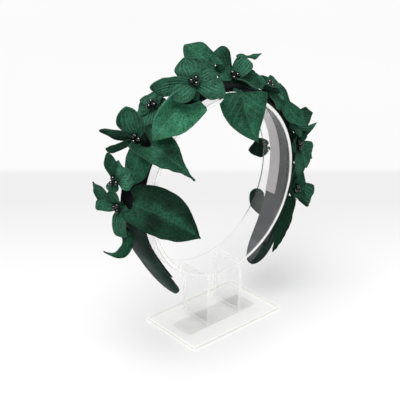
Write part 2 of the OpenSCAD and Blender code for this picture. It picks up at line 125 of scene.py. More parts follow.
# Painted light and shade on the big leaves, as soft lighter and darker patches on crests, valleys
# and rims: place along and across, reach along and across, tone
PAINTED_LIGHT_PATCHES = {
    "low_front": [(0.5, -0.12, 0.6, 0.22, 1.1), (0.5, -1.0, 0.4, 0.4, -0.6),
                  (0.34, 0.38, 0.10, 0.35, -0.6), (0.1, 0.65, 0.14, 0.5, 0.8)],
    "mid_front": [(0.1, 0.1, 0.13, 0.5, 1.1), (0.6, -0.08, 0.28, 0.2, 0.8),
                  (0.3, -0.15, 0.1, 0.5, -0.7), (0.3, 0.9, 0.25, 0.4, 0.5)],
    "heart": [(0.3, -0.45, 0.3, 0.45, 0.8), (0.35, 0.25, 0.25, 0.12, -0.8),
              (0.98, 0.0, 0.12, 1.0, -0.7), (0.3, 0.8, 0.3, 0.3, 0.4)],
    "front_right": [(0.4, 0.16, 0.3, 0.12, -0.9), (0.25, -0.5, 0.25, 0.4, 0.5),
                    (0.45, 0.6, 0.2, 0.4, 0.4), (0.75, -0.1, 0.2, 0.2, 0.6)],
    "top": [(0.1, 0.0, 0.15, 0.8, -0.7), (0.6, 0.0, 0.3, 0.5, 0.6)],
    "band_left": [(0.3, 0.0, 0.3, 0.3, 0.6), (0.6, 0.7, 0.3, 0.4, -0.5)],
}
# Painted light and shade of each petal: lighter where it faces the light, darker where it lies in shade
PETAL_LIGHT_AND_SHADE = {
    "main": (0.3, 0.3, 0.3, 0.3, 0.3),
    "crown": (0.9, -0.7, 0.6, -0.2, -0.6), "left": (-0.1, -1.1, -1.2, -0.6, -0.8),
    "low_left": (-0.7, 0.2, -0.5, 0.0, -0.5), "upper_left": (0.6, 0.2, 0.0, -0.2, 0.0),
    "side_left": (0.6, -0.5, 0.8, 0.2, 0.6), "upper_right": (0.9, -0.3, 0.1, 0.6, -0.3),
    "right": (-0.8, -0.1, 0.5, -0.5, -0.9), "side_right": (-0.9, 0.1, -1.1, -1.2, -0.5),
    "low_right": (-0.3, -1.1, -0.8, -1.2, -0.4),
}
# Flowers: angle along the band, y, lift, azimuth and elevation of the face, turn of the beads
FLOWERS = {
    "main": (-18, -9, 14.5, -38, 35, 60),
    "crown": (12.6, 0, 5, -20, 45, 0),
    "left": (-53, 6, 7, -60, 20, 0),
    "low_left": (-88, 8, 6, -80, 0, 60),
    "upper_left": (-36, 8, 9, -70, 50, 0),
    "side_left": (-75, 10, 10, -60, 10, 100),
    "upper_right": (38, -2, 7, 15, 50, 50),
    "right": (81, -6, 6, 15, 10, 0),
    "low_right": (107, -7, 6, 5, 0, 80),
    "side_right": (67, -4, 8.5, 20, 20, 30),
}
# Petals of each flower: direction, length, width, rise at the root, rise at the tip, hook, cup,
# roll, pointedness
PETAL_COLUMNS = "spin len wid rise0 rise1 hook cup roll point".split()
PETALS = {
    "main": [(113, 16, 19, 22, 0, 0, 25, 0, 0.7), (192, 31, 12, 38, -30, -110, 20, 35, 0.2),
             (219, 18, 16, 35, -5, 0, 15, 0, 0.2), (337, 20, 15, 25, -15, 0, 12, 0, 0.5),
             (20, 14, 12, 20, 0, 0, 10, 0, 0.5)],
    "crown": [(149, 14, 15, 25, 10, 0, 10, 0, 0.9), (124, 25, 15, 15, 70, -240, 25, 0, 0.1),
              (38, 17, 13, 45, 45, -150, 20, 0, 0.2), (318, 25, 13, 20, -10, 0, 15, 60, 0.6),
              (345, 20, 15, 10, -25, 0, 20, 0, 0.8)],
    "left": [(105, 23, 18, 45, 20, 0, 35, 0, 0.3), (172, 25, 13, 10, 0, 60, 20, 60, 0.2),
             (207, 27, 6, 40, -50, -40, 20, 40, 0.5), (76, 15, 12, 40, 10, 0, 20, 30, 0.8),
             (262, 8, 10, 55, 30, 0, 20, 0, 0.8)],
    "low_left": [(160, 25, 13, 20, -20, 0, 20, 15, -0.4), (183, 19, 13, 30, -20, 0, 40, -50, 0.6),
                 (100, 13, 11, 40, 15, 0, 25, 0, 0.5), (285, 20, 13, 40, -15, 0, 20, 0, -0.3),
                 (333, 10, 11, 20, 0, 0, 20, 0, 0.6)],
    "upper_left": [(264, 13, 17, -10, -40, 0, 20, 0, 0.6), (191, 15, 13, -10, -40, 0, 20, 0, 0.7),
                   (104, 11, 12, 0, -30, 0, 20, 0, 0.7), (134, 17, 13, 0, -40, 0, 20, 0, 0.7),
                   (25, 9, 13, -20, -40, 0, 20, 0, 0.5)],
    "side_left": [(80, 13, 10, 20, 0, 0, 10, 0, 0.9), (101, 19, 8, 30, 10, 0, 35, -30, 0.3),
                  (3, 13, 11, 20, 0, 0, 10, 0, 0.9), (254, 7, 9, 30, 10, 0, 20, 0, 0.5),
                  (38, 12, 10, 15, 0, 0, 10, 0, 0.5)],
    "upper_right": [(121, 15, 15, 10, -20, 0, 15, 0, 0.8), (1, 12, 12, 25, 10, -60, 20, 0, 0.8),
                    (283, 18, 15, 5, -50, 0, 20, 0, 0.8), (321, 16, 14, 10, -30, -60, 20, 0, 0.8),
                    (225, 13, 14, 25, 85, 0, 15, 0, 0.8)],
    "right": [(49, 12, 10, 25, 10, 0, 35, 60, 0.5), (329, 26, 13, 20, -10, -90, 20, 0, 0.8),
              (302, 25, 13, 20, -10, -40, 20, 0, 0.8), (254, 23, 14, 25, -10, 0, 20, 0, 0.7),
              (160, 11, 12, 35, 10, 0, 20, 0, 0.6)],
    "low_right": [(327, 27, 17, 20, -10, -40, 15, 0, 0.8), (308, 22, 10, 30, 0, -90, 20, 40, 0.5),
                  (38, 13, 13, 20, -10, 0, 20, 0, 0.7), (205, 11, 13, 20, 85, 0, 10, 0, 0.6),
                  (255, 9, 11, 45, 60, 0, 10, 0, 0.8)],
    "side_right": [(357, 21, 13, 30, 0, 70, 35, 0, 0.7), (295, 14, 13, 20, -10, 0, 20, 0, 0.8),
                   (113, 14, 13, 20, -10, 0, 20, 0, 0.8), (183, 10, 12, 35, 0, 0, 20, 0, 0.8),
                   (330, 18, 12, 35, 0, -60, 20, 0, 0.8)],
}


def add_object(name, data, aim=None):
    """A new object in the scene, turned to look along aim where one is given."""
    made = bpy.data.objects.new(name, data)
    if aim is not None:
        made.rotation_mode = "QUATERNION"
        made.rotation_quaternion = Vector(aim).to_track_quat("-Z", "Y")
    bpy.context.scene.collection.objects.link(made)
    return made


def make_camera():
    """The photograph's view: direction, distance and the point it looks at."""
    azimuth, elevation, distance = -41.06, 24.34, 0.6224
    target, back = Vector((-0.01365, 0.0, 0.09923)), Vector(face_axes(azimuth, elevation)[0])
    data = bpy.data.cameras.new("view")
    data.lens, data.sensor_width = 80, 36
    data.clip_start, data.clip_end = 0.01, 50
    camera = add_object("view", data, -back)
    camera.location = target + back * distance
    bpy.context.scene.camera = camera


# Materials: short forms of single nodes, then one function for each

def node(tree, kind, settings=None, **inputs):
    """A node with its settings, and its inputs given as values or as sockets to link."""
    made = tree.nodes.new(kind)
    for key, value in (settings or {}).items():
        setattr(made, key, value)
    for key, value in inputs.items():
        name = key.replace("_", " ")
        socket = made.inputs[name] if name in made.inputs else made.inputs[int(key[1:])]
        if isinstance(value, bpy.types.NodeSocket):
            tree.links.new(value, socket)
        else:
            socket.default_value = value
    return made


def material(name, **values):
    """A principled material with the values that are the same all over."""
    made = bpy.data.materials.new(name)
    made.use_nodes = True
    shader = made.node_tree.nodes["Principled BSDF"]
    for key, value in values.items():
        shader.inputs[key.replace("_", " ")].default_value = value
    return made, made.node_tree, shader


def place_mm(tree):
    """Each point's place in the frame, in millimetres."""
    coord = node(tree, "ShaderNodeTexCoord").outputs["Object"]
    return node(tree, "ShaderNodeVectorMath", {"operation": "SCALE"}, Vector=coord,
                Scale=1 / MM).outputs[0]


def noise(tree, where, scale, detail=3.0, roughness=0.55):
    return node(tree, "ShaderNodeTexNoise", Vector=where, Scale=scale, Detail=detail,
                Roughness=roughness).outputs["Fac"]


def ramp(tree, value, low, high, to_low=0.0, to_high=1.0):
    return node(tree, "ShaderNodeMapRange", {"interpolation_type": "SMOOTHSTEP"}, Value=value,
                From_Min=low, From_Max=high, To_Min=to_low, To_Max=to_high).outputs[0]


def mix(tree, share, a, b, blend="MIX"):
    made = node(tree, "ShaderNodeMix", {"data_type": "RGBA", "blend_type": blend})
    for index, value in ((0, share), (6, a), (7, b)):
        if isinstance(value, bpy.types.NodeSocket):
            tree.links.new(value, made.inputs[index])
        else:
            made.inputs[index].default_value = value
    return made.outputs[2]


def math_node(tree, operation, a, b=0.0):
    return node(tree, "ShaderNodeMath", {"operation": operation}, _0=a, _1=b).outputs[0]


def times(tree, a, b):
    return math_node(tree, "MULTIPLY", a, b)


def mark(tree, name, share=1.0):
    """A number that the mesh holds at its points, times a share."""
    return times(tree, node(tree, "ShaderNodeAttribute", {"attribute_name": name}).outputs["Fac"], share)


def paint(tree, shader, colour, roughness):
    """A colour and a roughness that vary over the surface."""
    tree.links.new(colour, shader.inputs["Base Color"])
    tree.links.new(roughness, shader.inputs["Roughness"])


def bump(tree, shader, height, distance, strength):
    made = node(tree, "ShaderNodeBump", Height=height, Distance=distance, Strength=strength)
    tree.links.new(made.outputs[0], shader.inputs["Normal"])


def rgb(red, green, blue):
    """A display colour, from 0 to 255, as scene light."""
    value = np.array([red, green, blue]) / 255
    light = np.where(value <= 0.04045, value / 12.92, ((value + 0.055) / 1.055) ** 2.4)
    return (*light.tolist(), 1.0)


def suede(name, light, dark, under, cut):
    """Suede leather: brushed patches, dark specks, lighter ribs from painted highlight, lighter cut edges, a
    duller underside.
    """
    made, tree, shader = material(name, Sheen_Weight=0.08, Sheen_Roughness=0.5,
                                  Sheen_Tint=(0.2, 0.8, 0.5, 1), Specular_IOR_Level=0.05)
    where = place_mm(tree)
    brushed = ramp(tree, noise(tree, where, 0.10, 3.0, 0.6), 0.30, 0.72)
    nap = ramp(tree, noise(tree, where, 0.8, 4.0, 0.7), 0.35, 0.70, 0.15, 1.0)
    grain = noise(tree, where, 1.9, 4.0, 0.65)
    speck = ramp(tree, noise(tree, where, 1.1, 2.0, 0.5), 0.56, 0.68)
    share = math_node(tree, "ADD", times(tree, brushed, 0.35), times(tree, nap, 0.55))
    colour = mix(tree, share, dark, light)
    colour = mix(tree, times(tree, speck, 0.7), colour, dark)
    # Painted highlight along the raised ribs and veins
    colour = mix(tree, mark(tree, "rib", 0.40), colour, cut)
    colour = mix(tree, mark(tree, "under"), colour, mix(tree, ramp(tree, grain, 0.35, 0.7), under, dark))
    colour = mix(tree, mark(tree, "cut", 0.7), colour, cut)
    # The tone mark lightens or darkens the colour: painted light and shade, with some of the leather's own
    # tone
    gain = math_node(tree, "MAXIMUM", math_node(tree, "ADD", mark(tree, "tone", 0.5), 1.0), 0.22)
    colour = mix(tree, 1.0, colour, gain, "MULTIPLY")
    paint(tree, shader, colour, ramp(tree, grain, 0.3, 0.7, 0.72, 0.92))
    pile = math_node(tree, "SUBTRACT", grain, times(tree, speck, 0.5))
    bump(tree, shader, pile, 0.12 * MM, 0.7)
    return made


def smooth_leather(name, light, dark):
    """Thin smooth leather with fine pores, grey inside the tips, near-black felt where wrapped."""
    made, tree, shader = material(name, Sheen_Weight=0.03, Sheen_Roughness=0.4,
                                  Specular_IOR_Level=0.06)
    where = place_mm(tree)
    patch = ramp(tree, noise(tree, where, 0.07, 4.0, 0.6), 0.35, 0.7)
    pore = node(tree, "ShaderNodeTexVoronoi", {"feature": "DISTANCE_TO_EDGE"}, Vector=where,
                Scale=1.6).outputs["Distance"]
    grain = noise(tree, where, 1.4, 4.0, 0.6)
    colour = mix(tree, patch, dark, light)
    colour = mix(tree, ramp(tree, grain, 0.45, 0.8, 0.0, 0.4), colour, light)
    colour = mix(tree, mark(tree, "lined"), colour, mix(tree, patch, rgb(82, 85, 89), rgb(94, 97, 101)))
    # Darker along the seams, and along the painted shadow line near each tip
    colour = mix(tree, mark(tree, "rib", 0.8), colour, dark)
    colour = mix(tree, mark(tree, "wrap"), colour, mix(tree, grain, rgb(8, 10, 13), rgb(18, 21, 24)))
    rough = math_node(tree, "ADD", ramp(tree, grain, 0.3, 0.75, 0.52, 0.72), mark(tree, "wrap", 0.25))
    paint(tree, shader, colour, rough)
    height = math_node(tree, "ADD", ramp(tree, pore, 0.0, 0.12, 0.0, 0.5), grain)
    bump(tree, shader, height, 0.05 * MM, 0.6)
    return made


def woven(name, light, dark, count, shine):
    """Plain weave with count threads a millimetre, drawn from the marks across and along."""
    made, tree, shader = material(name, Sheen_Weight=shine, Sheen_Roughness=0.3,
                                  Specular_IOR_Level=0.3)
    turn = 2 * math.pi * count / MM
    weave = times(tree, math_node(tree, "SINE", mark(tree, "across", turn)),
                  math_node(tree, "SINE", mark(tree, "along", turn)))
    slub = noise(tree, place_mm(tree), 0.35, 4.0, 0.6)
    colour = mix(tree, ramp(tree, weave, -1.0, 1.0), dark, light)
    colour = mix(tree, ramp(tree, slub, 0.4, 0.75, 0.0, 0.5), colour, dark)
    paint(tree, shader, colour, ramp(tree, slub, 0.3, 0.7, 0.6, 0.85))
    bump(tree, shader, weave, 0.04 * MM, 0.6)
    return made


def bead_black():
    """Black glossy glass beads with faint flow marks and dulled drill holes."""
    made, tree, shader = material("bead_black", Coat_Weight=0.25, Coat_Roughness=0.03, IOR=1.4)
    flow = noise(tree, place_mm(tree), 0.7, 2.0)
    colour = mix(tree, ramp(tree, flow, 0.35, 0.7), rgb(5, 6, 7), rgb(13, 15, 16))
    colour = mix(tree, mark(tree, "cut"), colour, rgb(96, 100, 100))
    rough = math_node(tree, "ADD", ramp(tree, flow, 0.3, 0.7, 0.06, 0.14), mark(tree, "cut", 0.4))
    paint(tree, shader, colour, rough)
    bump(tree, shader, flow, 0.02 * MM, 0.3)
    return made


def acrylic(name, tone, haze, rim_haze, roughness, painted_glow):
    """Clear acrylic, hazier at a glancing angle and faintly smeared, with a painted glow for light coming out
    of its edges.
    """
    made, tree, shader = material(name, IOR=1.49, Coat_Weight=0.5, Coat_Roughness=0.03,
                                  Emission_Color=(1.0, 1.0, 0.97, 1), Emission_Strength=painted_glow)
    where = place_mm(tree)
    smear = ramp(tree, noise(tree, where, 0.05, 5.0, 0.65), 0.35, 0.75)
    smeared = tuple(min(value + 0.08, 1.0) for value in tone)
    paint(tree, shader, mix(tree, smear, tone, smeared),
          math_node(tree, "ADD", times(tree, smear, 0.06), roughness))
    glance = node(tree, "ShaderNodeLayerWeight", Blend=0.35).outputs["Facing"]
    glance = math_node(tree, "POWER", glance, 2.5)
    cloudy = ramp(tree, glance, 0.0, 1.0, haze, rim_haze)
    cloudy = math_node(tree, "ADD", cloudy, times(tree, smear, 0.03))
    # The faint mark fades the ring's painted edge glow and painted dark line
    cloudy = times(tree, cloudy, math_node(tree, "SUBTRACT", 1.0, mark(tree, "faint")))
    tree.links.new(cloudy, shader.inputs["Alpha"])
    bump(tree, shader, noise(tree, where, 0.02, 1.0), 0.05 * MM, 0.15)
    return made


def pad_grey():
    """The soft pad under the base: pale foam with fine pores, darkened by painted shade."""
    made, tree, shader = material("pad_foam", Specular_IOR_Level=0.3)
    where = place_mm(tree)
    pore = node(tree, "ShaderNodeTexVoronoi", Vector=where, Scale=1.2).outputs["Distance"]
    cloud = noise(tree, where, 0.15, 4.0)
    colour = mix(tree, ramp(tree, cloud, 0.3, 0.7), rgb(236, 236, 233), rgb(246, 246, 243))
    # Painted shade in the pores
    colour = mix(tree, ramp(tree, pore, 0.0, 0.3, 0.25, 0.0), colour, rgb(214, 214, 211))
    paint(tree, shader, colour, ramp(tree, cloud, 0.3, 0.7, 0.7, 0.9))
    bump(tree, shader, pore, 0.1 * MM, 0.5)
    return made


# Mesh parts: points, faces and marks, joined into one object each

class Part:
    """Points and faces of a closed shell, a finish for each face, and numbers at its points."""
    def __init__(self, points, faces, finish=None, **marks):
        self.points = np.asarray(points, float).reshape(-1, 3)
        self.finish = finish or [0] * len(faces)
        self.marks = {k: np.broadcast_to(v, len(self.points)) for k, v in marks.items()}
        self.faces = self.outward([tuple(f) for f in faces])

    def outward(self, faces):
        """The faces, turned so that the shell's volume is positive."""
        volume = 0.0
        for size in {len(f) for f in faces}:
            corners = self.points[np.array([f for f in faces if len(f) == size])]
            for k in range(1, size - 1):
                volume += (corners[:, 0] * np.cross(corners[:, k], corners[:, k + 1])).sum()
        return [f[::-1] for f in faces] if volume < 0 else faces


def build(name, parts, finishes, replaced):
    """One object made of parts, riding on the body and standing for the nodes it replaces."""
    points, faces, first = [], [], 0
    for part in parts:
        points.append(part.points)
        faces += [tuple(i + first for i in f) for f in part.faces]
        first += len(part.points)
    mesh = bpy.data.meshes.new(name)
    mesh.from_pydata(np.concatenate(points).tolist(), [], faces)
    for key in sorted({k for part in parts for k in part.marks}):
        layer = mesh.attributes.new(key, "FLOAT", "POINT")
        values = [part.marks.get(key, np.zeros(len(part.points))) for part in parts]
        layer.data.foreach_set("value", np.concatenate(values).astype(np.float32))
    mesh.shade_smooth()
    for finish in finishes:
        mesh.materials.append(FINISH[finish])
    mesh.polygons.foreach_set("material_index", [k for part in parts for k in part.finish])
    made = add_object(name, mesh)
    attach(made, "root")
    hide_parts(*replaced)
    return made


def fade(value, start, full):
    """A share that goes from 0 at start to 1 at full."""
    return np.clip((value - start) / (full - start), 0, 1)


def ripple(points, wavelength, seed):
    """A smooth unevenness from -1 to 1 over the frame, the same in each run."""
    draw = np.random.default_rng(seed)
    total, waves = 0, 6
    for _ in range(waves):
        way = draw.normal(size=3)
        way /= np.linalg.norm(way)
        length = wavelength * draw.uniform(0.7, 1.5)
        total = total + np.sin(points @ way * 2 * np.pi / length + draw.uniform(0, 2 * np.pi))
    return total / waves


def tube(path, radii, sides, gathers, depth, **marks):
    """A closed round rod along a path, with a radius at each of its points and gathers round it."""
    path = np.array(path)
    run = np.gradient(path, axis=0)
    run /= np.linalg.norm(run, axis=1)[:, None]
    aside = np.cross(run[0], (0.31, 0.82, 0.48))
    rings = []
    angle = np.arange(sides) * 2 * np.pi / sides
    for p, r, t in zip(path, radii, run):
        aside = aside - t * (aside @ t)
        aside /= np.linalg.norm(aside)
        reach = r * (1 + depth * np.cos(gathers * angle))
        rings.append(p + reach[:, None] * (np.cos(angle)[:, None] * aside
                                           + np.sin(angle)[:, None] * np.cross(t, aside)))
    return Part(rings, capped_faces(len(path), sides), **marks)


def ring_faces(rings, sides):
    """The side faces between rings of points that close on themselves."""
    i, j = np.meshgrid(np.arange(rings - 1), np.arange(sides), indexing="ij")
    a, b = i * sides + j, i * sides + (j + 1) % sides
    return np.stack([a, a + sides, b + sides, b], -1).reshape(-1, 4).tolist()


def capped_faces(rings, sides):
    """The faces of rings with a flat cap at each end."""
    total = rings * sides
    return ring_faces(rings, sides) + [range(sides), range(total - 1, total - sides - 1, -1)]


def looped_faces(rings, sides):
    """The faces of rings of which the last meets the first."""
    return [[k % (rings * sides) for k in face] for face in ring_faces(rings + 1, sides)]


def grid_faces(rows, cols):
    """The faces of a grid of points."""
    a = np.arange(rows * cols).reshape(rows, cols)[:-1, :-1].ravel()
    return np.stack([a, a + 1, a + cols + 1, a + cols], -1)


def grid_rim(rows, cols):
    """The indices round a grid's rim, in order."""
    grid = np.arange(rows * cols).reshape(rows, cols)
    return np.concatenate([grid[:, 0], grid[-1, 1:], grid[-2::-1, -1], grid[0, -2:0:-1]])


def walls(upper, lower):
    """The faces between two closed lines of indices."""
    return np.stack([upper, lower, np.roll(lower, -1), np.roll(upper, -1)], -1)


# The band's line

def arc_at(end, bend, s):
    """A point of the band's middle line on one of its arcs, and its outward normal."""
    angle = end + (s - end * BAND_R) / bend
    centre = (BAND_R - bend) * np.array([math.sin(end), 0, math.cos(end)])
    normal = np.array([math.sin(angle), 0, math.cos(angle)])
    return np.array([RING_X, RING_Y, RING_Z]) + centre + bend * normal, normal


def band_at(s):
    """The point and outward normal at arc length s from the band's top."""
    if s < LEFT_END * BAND_R:
        return arc_at(LEFT_END, LEFT_BEND, s)
    if s > RIGHT_END * BAND_R:
        return arc_at(RIGHT_END, RIGHT_BEND, s)
    return arc_at(0.0, BAND_R, s)


def seat(at, y, lift):
    """A point above the band: angle along it in degrees, y and lift in millimetres."""
    point, normal = band_at(math.radians(at) * BAND_R)
    return np.array([point[0], y * MM, point[2]]) + lift * MM * normal


def outer_at(at):
    """Half thickness of the band on its outer side, which is padded more towards the legs."""
    return BAND_T / 2 + OUTER_PAD * fade(abs(at), PAD_FROM, PAD_FULL)


def foot(at, y, lift):
    """Where a stalk or neck meets the band: its outer face, or an edge for a low seat."""
    inset, half, middle = 3, BAND_W / 2 / MM, BAND_Y / MM
    top = (outer_at(at) + CONTACT) / MM
    if lift > top:
        reach = half - inset
        return seat(at, middle + np.clip(y - middle, -reach, reach), top)
    low = min(lift, BAND_T / 2 / MM)
    return seat(at, middle + math.copysign(half + CONTACT / MM, y - middle), low)


def face_axes(azimuth, elevation):
    """Axes of a face: outward, to the right and up."""
    a, e = math.radians(azimuth), math.radians(elevation)
    out = np.array([math.sin(a) * math.cos(e), -math.cos(a) * math.cos(e), math.sin(e)])
    right = np.array([math.cos(a), math.sin(a), 0.0])
    return out, right, np.cross(out, right)


# Leaves and petals

HOOK_FROM = 0.62
PETAL_BELLY = 0.62
ROW_BIAS = 1.4
LEAF_CELLS, PETAL_CELLS = (26, 70), (20, 30)


def leaf_width(s, point, belly):
    """Half width along a leaf, as a share of the widest."""
    near = 0.45 + 0.55 * np.sqrt(np.clip(1 - (1 - s / belly) ** 2, 0, None))
    far = np.clip(1 - ((s - belly) / (1 - belly)) ** 2, 0, None) ** point
    return np.where(s < belly, near, far)


def petal_width(s, sharp):
    """Half width along a petal, as a share of the widest: its end is round at 0, a point at 1."""
    near = 0.42 + 0.58 * np.sin(fade(s, 0, PETAL_BELLY) * np.pi / 2) ** 1.15
    t = fade(s, PETAL_BELLY, 1)
    far = np.clip(1 - t ** (2.3 - sharp), 0, None) ** (0.6 + 0.5 * sharp) * (1 - 0.08 * t)
    return np.where(s < PETAL_BELLY, near, far)


def blade_frames(b, axes, s):
    """Direction of the midrib, normal and side at each s."""
    heading = np.radians(b["spin"] + b["sway"] * (s - 0.5))[:, None]
    along = np.cos(heading) * axes[1] + np.sin(heading) * axes[2]
    hook = b["hook"] * fade(s, HOOK_FROM, 1) ** 2
    pitch = np.radians(b["rise0"] + (b["rise1"] - b["rise0"]) * s + hook)[:, None]
    run = np.cos(pitch) * along + np.sin(pitch) * axes[0]
    normal = np.cos(pitch) * axes[0] - np.sin(pitch) * along
    side = np.cross(run, normal)
    roll = np.radians(b["roll"] + b["twist"] * s)[:, None]
    return (run, np.cos(roll) * normal - np.sin(roll) * side,
            np.cos(roll) * side + np.sin(roll) * normal)


def midrib(b, axes, root, s):
    """The midrib's points at each s, from fine steps between them."""
    steps, step = 6, np.diff(s)[:, None]
    fine = (s[:-1, None] + step * (np.arange(steps) + 0.5) / steps).ravel()
    run = blade_frames(b, axes, fine)[0].reshape(len(step), steps, 3).mean(1)
    return root + np.concatenate([np.zeros((1, 3)), np.cumsum(run * step * b["len"], axis=0)])


def leaf_relief(b, x, y, s, q):
    """Height of a leaf's fold, veins and curled base, and how strongly each point is on a vein."""
    rib_w, valley_w, ridge_w, vein_w, slope = 0.55 * MM, 2.6 * MM, 4.5 * MM, 0.5 * MM, 1.15
    ends = np.clip(1.15 - y / b["len"], 0, 1) ** 0.5
    middle = np.exp(-(x / rib_w) ** 2) * ends
    valley = np.exp(-(x / valley_w) ** 2) * ends
    veins = 0
    for start in (-0.16, 0.0, 0.17, 0.36):
        gap = (y - start * b["len"] - slope * np.abs(x)) / math.hypot(1, slope)
        reach = fade(np.abs(x), 0.4 * MM, 1.4 * MM) * fade(q, 0.97, 0.67)
        veins = np.maximum(veins, np.exp(-(gap / vein_w) ** 2) * reach)
    height = (0.34 * MM * middle - 0.5 * MM * valley + 0.2 * b["vein"] * MM * veins
              + b["ridge"] * np.exp(-(x / ridge_w) ** 2) * fade(y / b["len"], 0, 0.2) * ends
              + b["curl"] * fade(q, 0.75, 1) ** 2 * fade(s, 0.4, 0))
    return height, np.clip(0.55 * middle + 0.3 * b["vein"] * veins, 0, 1)


def petal_relief(b, u, s, q):
    """Height of a petal's pressed ribs, and how strongly each point is on one."""
    phase, rib_h = b["phase"], 0.42 * MM
    ribs = 3.0 * u + 0.16 * np.sin(5 * s + 9 * phase) + 0.2 * np.sin(2.5 * u + phase)
    ends = fade(s, 0, 0.25) * fade(q, 1, 0.7) * fade(s, 1, 0.7)
    ends = ends * (0.65 + 0.35 * np.sin(7 * s + 5 * u + 11 * phase))
    comb = np.cos(2 * np.pi * ribs)
    return rib_h * comb * ends, np.clip(0.5 + 0.5 * comb, 0, 1) ** 2 * ends * 0.6


def patch_tone(b, u, s):
    """How much lighter or darker each point is: the piece's tone and its patches, mostly painted light and
    shade.
    """
    tone = b["tone"] + 0 * u * s
    for at, aside, along, across, gain in b["painted_patches"]:
        tone = tone + gain * np.exp(-((s - at) / along) ** 2 - ((u - aside) / across) ** 2)
    return tone


def blade(b, axes, root, kind, half_cells, rows, seed):
    """A leaf or petal as a thin closed shell with a rounded cut edge."""
    s = 1 - (1 - np.arange(rows + 1) / rows) ** ROW_BIAS
    run, normal, side = (a[:, None, :] for a in blade_frames(b, axes, s))
    rib = midrib(b, axes, root, s)[:, None, :]
    v = np.arange(-half_cells, half_cells + 1)[None, :] / half_cells
    u = np.sign(v) * (0.8 * np.abs(v) + 0.2 * v ** 2)
    s, q, sign = s[:, None], np.abs(u), np.sign(u)
    share = leaf_width(s, b["point"], b["belly"]) if kind == "leaf" else petal_width(s, b["point"])
    half = b["wid"] / 2
    w = half * np.maximum(share, np.where(s < 0.5, 0.12, 0.03))
    cup = np.radians(np.where(u > 0, b["cupr"], b["cupl"])) * w / half
    cup = np.where(np.abs(cup) < 1e-4, 1e-4, cup)
    bend = cup * q
    wave = b["wave"] * q ** 2 * np.minimum(1, 1.3 * w / half) * np.sin(
        2 * np.pi * (1.4 * s + b["phase"]) + np.where(u > 0, 0, np.radians(110)))
    lobe = b["lobe"] * b["len"] * q ** 2 * fade(s, max(b["belly"], 0.2), 0) ** 1.5
    lateral = sign * w * np.sin(bend) / cup
    height = wave + w * (1 - np.cos(bend)) / cup
    middle = rib + lateral[..., None] * side + height[..., None] * normal - lobe[..., None] * run
    up = np.cos(bend)[..., None] * normal - (sign * np.sin(bend))[..., None] * side
    tone = patch_tone(b, u, s)
    if kind == "leaf":
        relief, on_rib = leaf_relief(b, u * w, s * b["len"] - lobe, s, q)
    else:
        relief, on_rib = petal_relief(b, u, s, q)
        # Painted highlight along the crests of the pressed ribs, and a little painted shade between them
        tone = tone + 1.4 * on_rib - 0.2
    uneven = 0.9 * MM * ripple(middle, 14 * MM, seed) + 0.7 * MM * q ** 3 * ripple(middle, 7 * MM, seed + 1)
    relief = relief + uneven * fade(s, 0, 0.25)
    return shell(middle + relief[..., None] * up, up, on_rib, tone, b["rim"])


def shell(middle, up, on_rib, tone, pale):
    """Two layers either side of a grid of points, joined by a rounded rim."""
    top, rim = grid_faces(*middle.shape[:2]), grid_rim(*middle.shape[:2])
    middle, up, tone, on_rib = middle.reshape(-1, 3), up.reshape(-1, 3), tone.ravel(), on_rib.ravel()
    layer, thick = len(middle), LEATHER_T / 2
    edge = middle[rim] + 0.75 * thick * rim_outward(middle, rim)
    fringe = 2 * layer + np.arange(len(rim))
    faces = np.concatenate([top, top[:, ::-1] + layer, walls(rim, fringe), walls(fringe, rim + layer)])
    near_rim = np.zeros(layer)
    near_rim[rim] = 0.35 * pale
    return Part(np.concatenate([middle + thick * up, middle - thick * up, edge]), faces.tolist(),
                cut=np.concatenate([near_rim, near_rim, np.full(len(rim), pale)]),
                under=np.repeat([0.0, 1.0, 0.3], [layer, layer, len(rim)]),
                rib=np.concatenate([on_rib, np.zeros(layer + len(rim))]),
                tone=np.concatenate([tone, tone, tone[rim]]))


def rim_outward(points, rim):
    """The direction away from the blade at each point of its rim."""
    ring = points[rim]
    along = np.roll(ring, -1, axis=0) - np.roll(ring, 1, axis=0)
    inside = points.mean(0) - ring
    share = (inside * along).sum(1) / np.maximum((along ** 2).sum(1), 1e-12)
    away = along * share[:, None] - inside
    return away / np.linalg.norm(away, axis=1)[:, None]


def metres(row):
    """A row with its lengths in metres."""
    return {k: v * MM if k in ("len", "wid", "wave") else v for k, v in row.items()}


def leaf(name, values, index):
    """One leaf on its stalk."""
    row = metres(dict(zip(LEAF_COLUMNS, values)))
    tone, ridge, curl, vein, rim = FORMS.get(name, PLAIN)
    b = row | {"phase": 0.37 * index, "tone": tone, "ridge": ridge * MM, "curl": curl * MM,
               "vein": vein, "rim": rim, "painted_patches": PAINTED_LIGHT_PATCHES.get(name, [])}
    axes = face_axes(row["az"], row["el"])
    place = row["at"], row["y"], row["lift"]
    root, start = seat(*place), foot(*place)
    s = np.array([0.0, 0.06, 0.12, 0.2])
    under = midrib(b, axes, root, s) - 0.7 * LEATHER_T * blade_frames(b, axes, s)[1]
    path = [start, start + 0.35 * (root - start), start + 0.75 * (root - start), *under]
    radii = STALK_R * np.array([1.15, 0.85, 0.95, 1.0, 0.8, 0.6, 0.25])
    parts = [blade(b, axes, root, "leaf", *LEAF_CELLS, 11 * index + 5),
             tube(path, radii, 14, 5, 0.08, under=0.5)]
    build("foliage_" + name, parts, ["leaf"], ["leaf_" + name])


def petal_row(flower_name, values, i):
    """A petal's shape and looks from its short row."""
    row = metres(dict(zip(PETAL_COLUMNS, values)))
    return row | {"sway": 0, "twist": 0, "cupl": row["cup"], "cupr": row["cup"], "wave": 0.5 * MM,
                  "belly": PETAL_BELLY, "lobe": 0, "phase": 0.3 * i, "rim": 0.7,
                  "tone": PETAL_LIGHT_AND_SHADE[flower_name][i],
                  # A painted highlight across the petal's middle and painted shade at its root, by the heart
                  "painted_patches": [(0.55, 0.0, 0.3, 0.7, 0.4), (0.0, 0.0, 0.2, 1.0, -0.6)]}


